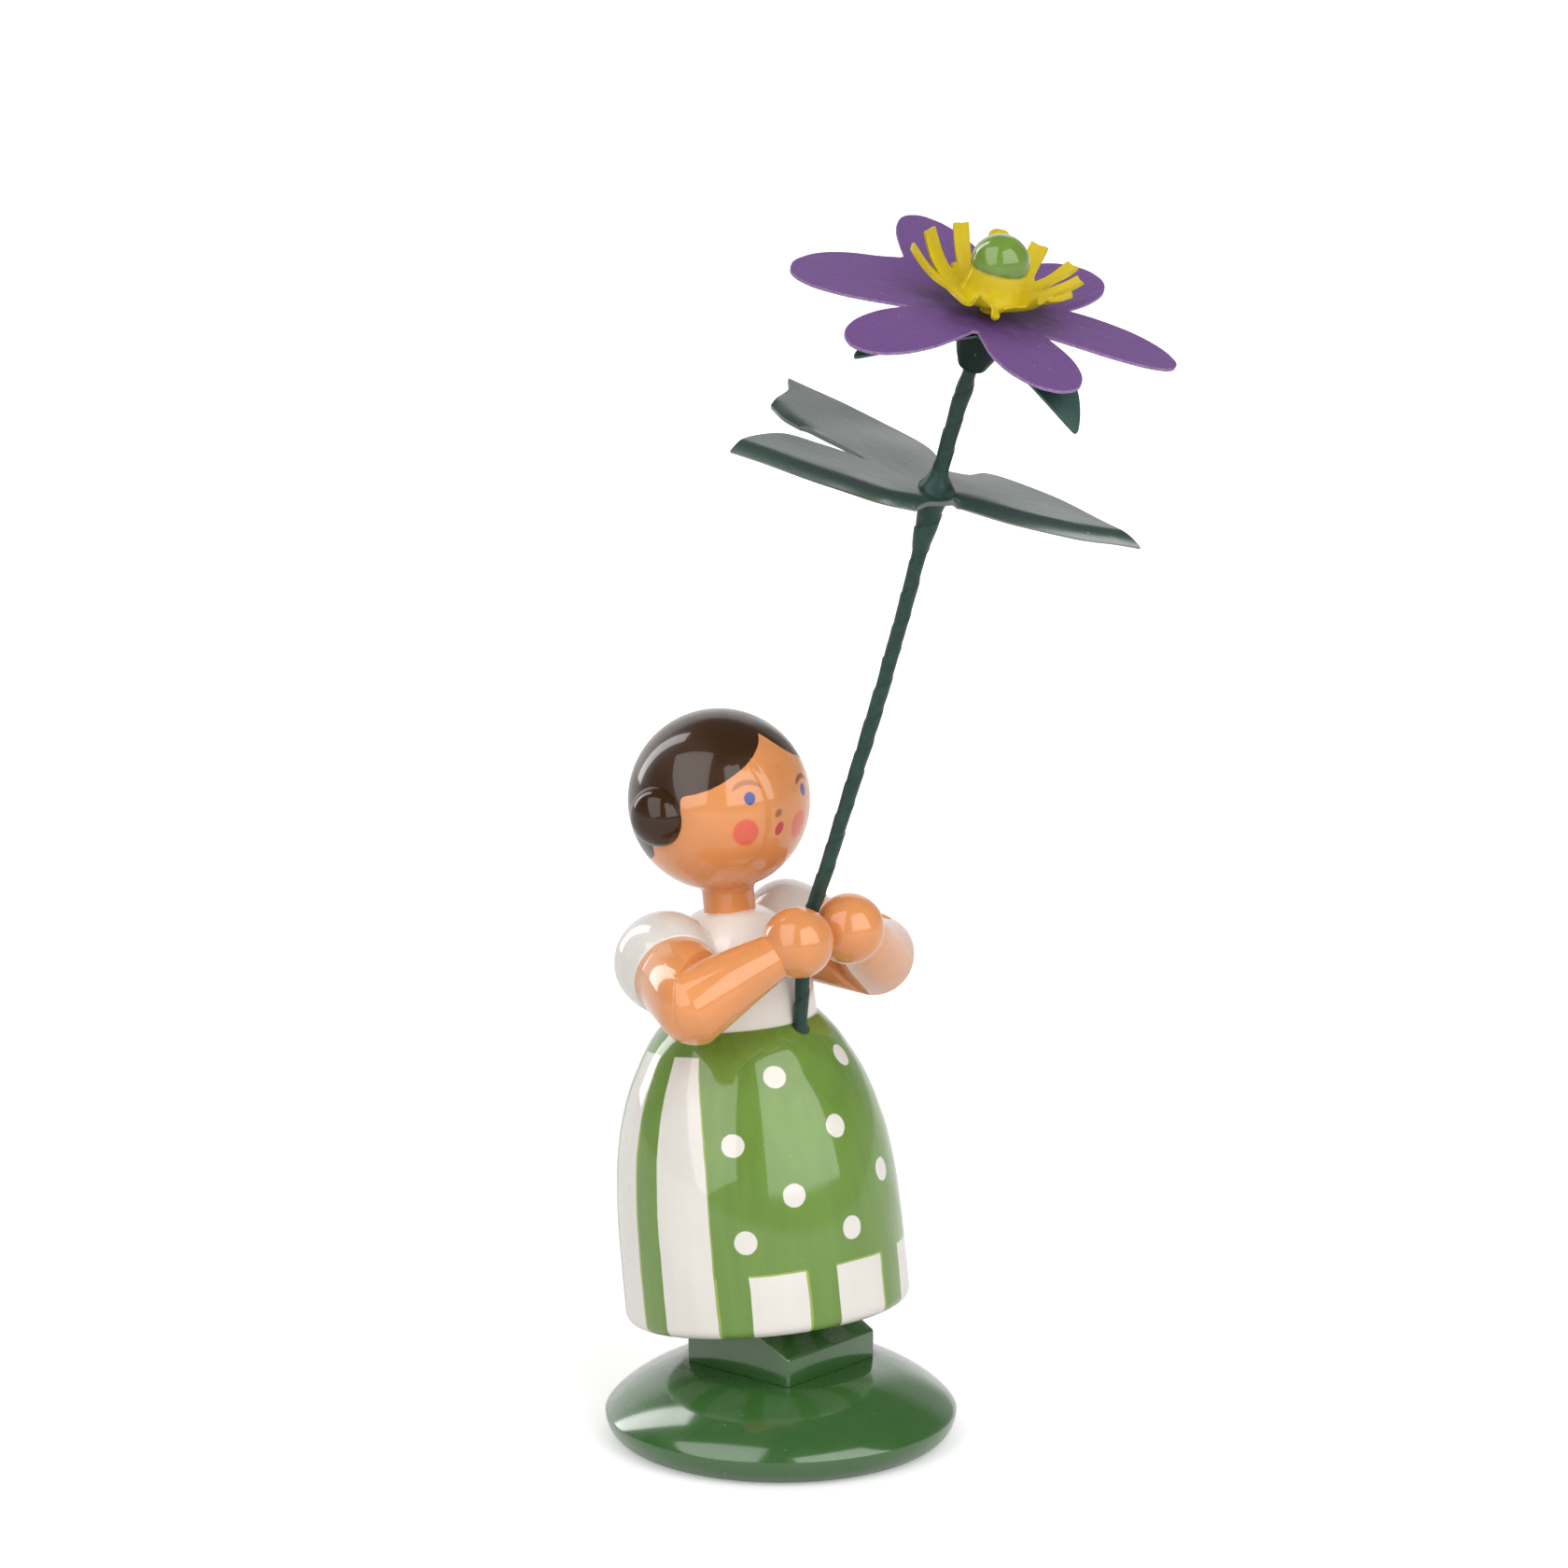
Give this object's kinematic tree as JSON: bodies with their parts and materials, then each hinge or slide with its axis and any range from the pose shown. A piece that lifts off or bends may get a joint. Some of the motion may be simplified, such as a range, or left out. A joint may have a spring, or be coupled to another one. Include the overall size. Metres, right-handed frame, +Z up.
{
  "type": "wooden flower girl figurine",
  "caption": "Turned and lacquered wooden figurine on a round base, leaning back a little and holding one tall long-stemmed flower in both hands; stands on its flat underside",
  "frame": {"origin": "centre of the base's flat underside", "axes": "+Z up, -Y the way the figure faces, +X to the figure's left hand"},
  "size_m": [0.0352, 0.0571, 0.1205],
  "materials": {
    "base_lacquer": "dark green gloss lacquer on turned wood",
    "skirt_lacquer": "green and white striped gloss lacquer with a dotted apron",
    "white_lacquer": "white gloss lacquer",
    "skin_lacquer": "warm tan gloss lacquer, with a painted face and hair on the head",
    "hair_lacquer": "dark brown gloss lacquer",
    "bare_wood": "bare beech dowel",
    "wire": "plain drawn wire",
    "stem_paper": "dark green waxed paper tape, satin",
    "leaf_card": "dark green painted card, satin",
    "petal_card": "purple painted card, matt, with pale cut edges",
    "stamen_paper": "yellow stiff paper strips",
    "bead_lacquer": "green over yellow, thick clear gloss lacquer"
  },
  "bodies": {
    "root": {"base_disc": "base_lacquer", "plinth_block": "base_lacquer", "body_dowel": "bare_wood", "skirt": "skirt_lacquer", "blouse": "white_lacquer", "head": "skin_lacquer", "hair_bun_right": "hair_lacquer", "hair_bun_left": "hair_lacquer", "sleeve_right": "white_lacquer", "sleeve_left": "white_lacquer", "shoulder_dowel_right": "bare_wood", "shoulder_dowel_left": "bare_wood", "upper_arm_right": "skin_lacquer", "upper_arm_left": "skin_lacquer", "forearm_right": "skin_lacquer", "forearm_left": "skin_lacquer", "stem_wire": "wire", "stem_tape": "stem_paper", "leaf_binding": "stem_paper", "leaf": "leaf_card", "flower_cup": "leaf_card", "bracts": "leaf_card", "petals": "petal_card", "stamens": "stamen_paper", "bead": "bead_lacquer"}
  },
  "joints": []
}
